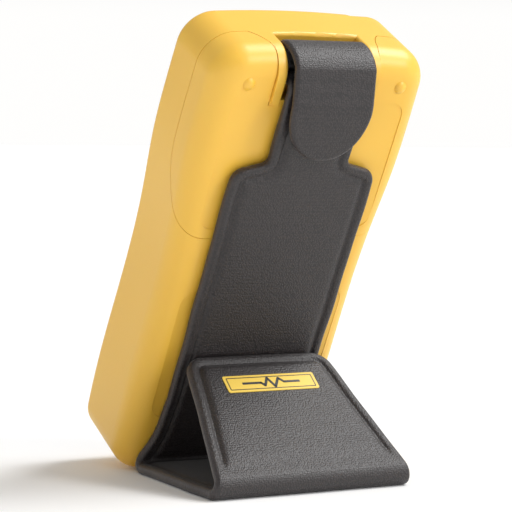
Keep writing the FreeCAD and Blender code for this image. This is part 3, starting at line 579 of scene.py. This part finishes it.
def strap_piece(name, first, last):
    """Closed-section leather between two moves of the strap."""
    rows = ROWS[FIRST[first]:FIRST[last] + 1]
    halves = np.maximum(0.6, np.interp(rows[:, 0], OUTLINE[:-1, 0], OUTLINE[:-1, 1]))
    xs, vs, ys, zs, nys, nzs, sides = [], [], [], [], [], [], []
    for (v, y, z, angle), half in zip(rows, halves):
        right = across(half)
        left = -right[::-1][1:]
        face = np.concatenate((right, left))
        ring = np.concatenate((face, face[-2:0:-1]))
        side = np.concatenate((np.ones(len(face)), -np.ones(len(face) - 2)))
        side[0] = side[len(face) - 1] = 0
        xs.append(ring)
        sides.append(side)
        vs.append(np.full(len(ring), v))
        ys.append(np.full(len(ring), y))
        zs.append(np.full(len(ring), z))
        nys.append(np.full(len(ring), -math.sin(angle)))
        nzs.append(np.full(len(ring), math.cos(angle)))
    count = len(xs[0])
    x, v, y, z, ny, nz, side = (np.concatenate(p) for p in (xs, vs, ys, zs, nys, nzs, sides))
    edge = edge_distance(x, v)
    full = np.sqrt(np.clip(1 - (1 - np.clip(edge / EDGE_R, 0, 1)) ** 2, 0, 1))
    groove = np.exp(-((edge - BORDER) / BORDER_WIDTH) ** 2) * BORDER_DEPTH
    pillow = PILLOW * fade(edge, BORDER, BORDER + 2.5) - 0.06
    strength = np.where(side > 0, border_strength(v, 1), border_strength(v, -1))
    ripple = RIPPLE * np.sin(x / 5.3 + 1.1) * np.sin(v / 6.1) * fade(edge, 0, 4)
    height = thickness(v) / 2 * full + strength * (pillow * full - groove) + ripple
    wave = WAVE * np.sin(v / 4.7) + SHORT_WAVE * np.sin(v / 2.9 + 1.3)
    x = x + np.sign(x) * wave * fade(v, 30, 50) * (1 - fade(edge, 0, 9))
    verts = np.stack((x, y + ny * height * side, z + nz * height * side), 1) * MM
    faces = []
    for row in range(len(rows) - 1):
        for k in range(count):
            a, b = row * count + k, row * count + (k + 1) % count
            faces.append((a, a + count, b + count, b))
    mesh = bpy.data.meshes.new(name)
    mesh.from_pydata(verts.tolist(), [], faces)
    mesh.attributes.new("edge", "FLOAT", "POINT").data.foreach_set("value", edge)
    return finish_mesh(name, mesh, LEATHER)


def finish_mesh(name, mesh, material):
    """Welds, orients and smooths a mesh and makes its object."""
    work = bmesh.new()
    work.from_mesh(mesh)
    bmesh.ops.remove_doubles(work, verts=work.verts, dist=0.002 * MM)
    bmesh.ops.recalc_face_normals(work, faces=work.faces)
    work.to_mesh(mesh)
    work.free()
    mesh.polygons.foreach_set("use_smooth", [True] * len(mesh.polygons))
    mesh.materials.append(material)
    obj = bpy.data.objects.new(name, mesh)
    bpy.context.scene.collection.objects.link(obj)
    return obj


def make_strap():
    """The strap in three pieces that meet inside straight runs: flap, main panel and stand."""
    flap = strap_piece("strap_flap", "flap_tip", "loop_flat")
    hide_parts("flap_crease", "flap_outer", "flap_inner")
    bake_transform(flap)
    panel = strap_piece("strap_panel", "loop_flat", "base_rear")
    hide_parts("strap_main_outer", "strap_main_inner", "strap_loop", "front_fold",
                "base_top")
    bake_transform(panel)
    stand = strap_piece("strap_stand", "base_rear", "end")
    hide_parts("base_sole", "rear_fold", "leg_outer", "leg_inner")
    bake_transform(stand)


# ---------------------------------------------------------------- printed and moulded detail
def prism(name, outlines, place, low, high, material, slot, body):
    """Thin raised shapes: outlines are lists of (x, y) that place(x, y, height) puts in space."""
    verts, faces = [], []
    for outline in outlines:
        n = len(outline)
        base = len(verts)
        for height in (low, high):
            verts += [place(x, y, height) for x, y in outline]
        faces.append([base + k for k in reversed(range(n))])
        faces.append([base + n + k for k in range(n)])
        faces += [[base + k, base + (k + 1) % n, base + n + (k + 1) % n, base + n + k]
                  for k in range(n)]
    mesh = bpy.data.meshes.new(name)
    mesh.from_pydata([tuple(v) for v in verts], [], faces)
    obj = finish_mesh(name, mesh, material)
    mesh.polygons.foreach_set("use_smooth", [False] * len(mesh.polygons))
    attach(obj, body)
    return obj


def bar_shape(p, q, width):
    """Rectangle from p to q."""
    p, q = np.array(p, float), np.array(q, float)
    along = (q - p) / np.linalg.norm(q - p)
    side = np.array((-along[1], along[0])) * width / 2
    return [tuple(v) for v in (p - side, q - side, q + side, p + side)]


def ring_shapes(centre, r, width, start, end, count):
    """Arc of a ring as short pieces."""
    turns = np.radians(np.linspace(start, end, count + 1))
    shapes = []
    for a, b in zip(turns, turns[1:]):
        ring = [(r - width / 2, a), (r + width / 2, a), (r + width / 2, b), (r - width / 2, b)]
        shapes.append([(centre[0] + q * math.cos(t), centre[1] + q * math.sin(t))
                       for q, t in ring])
    return shapes


def disc_shape(centre, r, count=20):
    """Polygon close to a circle."""
    return [(centre[0] + r * math.cos(2 * math.pi * k / count),
             centre[1] + r * math.sin(2 * math.pi * k / count)) for k in range(count)]


def leg_place(x, along, height):
    """Point on the leg's outer face: along up the leg, height above its surface."""
    a = math.radians(180 - LEG_SLOPE)
    reach = FOLD_MID + STRAP_T / 2 + height
    y = rear_axis.y + along * math.cos(a) + reach * math.sin(a)
    z = rear_axis.z + along * math.sin(a) - reach * math.cos(a)
    return Vector((x, y, z)) * MM


def make_label_mark(ink):
    """A pulse trace inside a thin frame on the yellow patch."""
    low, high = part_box("label_patch")
    half = (high.x - low.x) / MM / 2
    middle = LEG_LENGTH - LABEL_DROP - LABEL_HALF
    trace = [(-9.5, 0), (-4.2, 0), (-2.8, 1.5), (-0.8, -1.7), (0.8, 1.7), (2.4, -1.1), (3.4, 0),
             (9.5, 0)]
    shapes = [bar_shape((a[0], middle + a[1]), (b[0], middle + b[1]), 0.8)
              for a, b in zip(trace, trace[1:])]
    shapes += [disc_shape((x, middle + y), 0.4) for x, y in trace[1:-1]]
    edge, tall = half - 1.0, 2.2
    corners = [(-edge, middle - tall), (edge, middle - tall), (edge, middle + tall),
               (-edge, middle + tall)]
    shapes += [bar_shape(a, b, 0.25) for a, b in zip(corners, corners[1:] + corners[:1])]
    prism("label_mark", shapes, leg_place, 0.35, 0.46, ink, "part_black", "strap_leg")


DIGIT_X, DIGIT_S = -17.0, 107.5    # lower left corner of the reading
DIGIT_PITCH = 9.4
GRAPH_X, GRAPH_S = -18, 101.5
GRAPH_PITCH = 1.2
DIAL_STEP = 20             # degrees between the selector's positions
TICK_IN, TICK_OUT = 19.6, 21.4
NUMBER_R, NUMBER_TALL = 24.6, 1.9
DIAL_ARC_R = 28.2
PRINT_T = 0.05
SLANT = 0.08               # lean of the digits
SEGMENTS = {"0": "abcdef", "1": "bc", "2": "abged", "3": "abgcd", "4": "fgbc", "5": "afgcd",
            "6": "afgecd", "7": "abc", "8": "abcdefg", "9": "abcdfg"}


def digit_shapes(character, x, s, wide, tall, thick):
    """Seven-segment digit with its lower left corner at (x, s)."""
    half = tall / 2
    lines = {"a": ((0, tall), (wide, tall)), "b": ((wide, half), (wide, tall)),
             "c": ((wide, 0), (wide, half)), "d": ((0, 0), (wide, 0)),
             "e": ((0, 0), (0, half)), "f": ((0, half), (0, tall)), "g": ((0, half), (wide, half))}
    shapes = []
    for segment in SEGMENTS[character]:
        p, q = (np.array(end, float) for end in lines[segment])
        along = (q - p) / np.linalg.norm(q - p)
        trim = along * thick * 0.62
        ends = [(e[0] + SLANT * e[1] + x, e[1] + s) for e in (p + trim, q - trim)]
        shapes.append(bar_shape(*ends, thick))
    return shapes


def make_display(ink):
    """Reading, decimal point and a bar graph on the display panel."""
    shapes = []
    for k, character in enumerate("0628"):
        shapes += digit_shapes(character, DIGIT_X + DIGIT_PITCH * k, DIGIT_S, 6.0, 13.0, 1.5)
    shapes.append(disc_shape((-9.2 + DIGIT_PITCH, 107.2), 0.9))
    for k in range(31):
        x = GRAPH_X + GRAPH_PITCH * k
        shapes.append(bar_shape((x, GRAPH_S), (x, 103.6 if k % 5 else 104.6), 0.45))
    shapes += ring_shapes((19.5, 123.5), 1.3, 0.5, 0, 360, 18)
    prism("display_segments", shapes, meter, GLASS_D, GLASS_D + 0.06, ink, "part_black", "case")


def text_shapes(text, centre, size):
    """Small printed number in the same segment style."""
    wide, gap = size * 0.5, size * 0.32
    total = len(text) * wide + (len(text) - 1) * gap
    shapes = []
    for k, character in enumerate(text):
        x = centre[0] - total / 2 + k * (wide + gap)
        shapes += digit_shapes(character, x, centre[1] - size / 2, wide, size, size * 0.16)
    return shapes


def make_face_print(white, amber):
    """Range numbers, ticks and arcs round the selector, the display's border and the jack marks."""
    print_at = (FACE_D, FACE_D + PRINT_T)
    ticks, numbers = [], []
    labels = ("0", "2", "20", "200", "600", "200", "20", "2", "10")
    for k, label in enumerate(labels):
        a = math.radians(90 + DIAL_STEP * (4 - k))
        way = np.array((math.cos(a), math.sin(a)))
        centre = np.array((0.0, KNOB_S))
        ticks.append(bar_shape(centre + way * TICK_IN, centre + way * TICK_OUT, 0.5))
        numbers += text_shapes(label, centre + way * NUMBER_R, NUMBER_TALL)
    prism("dial_ticks", ticks, meter, *print_at, white, "pointer_white", "case")
    prism("dial_numbers", numbers, meter, *print_at, white, "pointer_white", "case")
    arcs = []
    for start, end in ((172, 132), (108, 72), (48, 8)):
        arcs += ring_shapes((0, KNOB_S), DIAL_ARC_R, 0.35, end, start, 14)
    prism("dial_arcs", arcs, meter, *print_at, amber, "label_yellow", "case")
    half, low, high = 26.6, 94.6, 132.6
    frame_line = [(-half, low), (half, low), (half, high), (-half, high)]
    shapes = [bar_shape(a, b, 0.3) for a, b in zip(frame_line, frame_line[1:] + frame_line[:1])]
    prism("display_border", shapes, meter, *print_at, amber, "label_yellow", "case")
    shapes = []
    for x in JACK_XS:
        shapes += ring_shapes((x, JACK_S), 8.6, 0.4, 35, 145, 16)
    shapes += [bar_shape((x - 1.0, 29.4), (x + 1.0, 29.4), 0.45) for x in JACK_XS]
    shapes += [bar_shape((x, 28.4), (x, 30.4), 0.45) for x in (JACK_XS[0], JACK_XS[2])]
    prism("jack_marks", shapes, meter, *print_at, white, "pointer_white", "case")


def make_key_marks(white):
    """One moulded mark on each key: hold, range, light and record."""
    s = KEY_S
    for number, x in enumerate(KEY_XS, 1):
        marks = {
            1: [bar_shape((x - 0.9, s - 1), (x - 0.9, s + 1), 0.5),
                bar_shape((x + 0.9, s - 1), (x + 0.9, s + 1), 0.5)],
            2: [[(x - 1.4, s - 0.9), (x + 1.4, s - 0.9), (x, s + 1.2)]],
            3: ring_shapes((x, s), 1.1, 0.45, 0, 360, 18),
            4: [disc_shape((x, s), 1.0)],
        }[number]
        prism("key_mark_%d" % number, marks, meter, KEY_D, KEY_D + PRINT_T, white,
              "pointer_white", "key_%d" % number)


def make_floor():
    """White table that reaches past the picture."""
    mesh = bpy.data.meshes.new("studio_floor")
    reach = 12.0
    mesh.from_pydata([(-reach, -reach, 0), (reach, -reach, 0), (reach, reach, 0),
                      (-reach, reach, 0)], [], [(0, 1, 2, 3)])
    mesh.materials.append(pale_floor())
    obj = bpy.data.objects.new("studio_floor", mesh)
    bpy.context.scene.collection.objects.link(obj)


bpy.context.scene.view_settings.view_transform = "Standard"
view_right, view_back = make_camera()
make_sky()
for lamp_name, rightward, nearward, upward, strength, softness in SUNS:
    make_sun(lamp_name, view_right * rightward + view_back * nearward + Vector((0, 0, upward)),
             strength, softness)
make_floor()
materials = dress_frame()
make_strap()
make_label_mark(materials["part_black"])
make_display(materials["part_black"])
make_face_print(materials["pointer_white"], materials["label_yellow"])
make_key_marks(materials["pointer_white"])

bpy.context.view_layer.update()
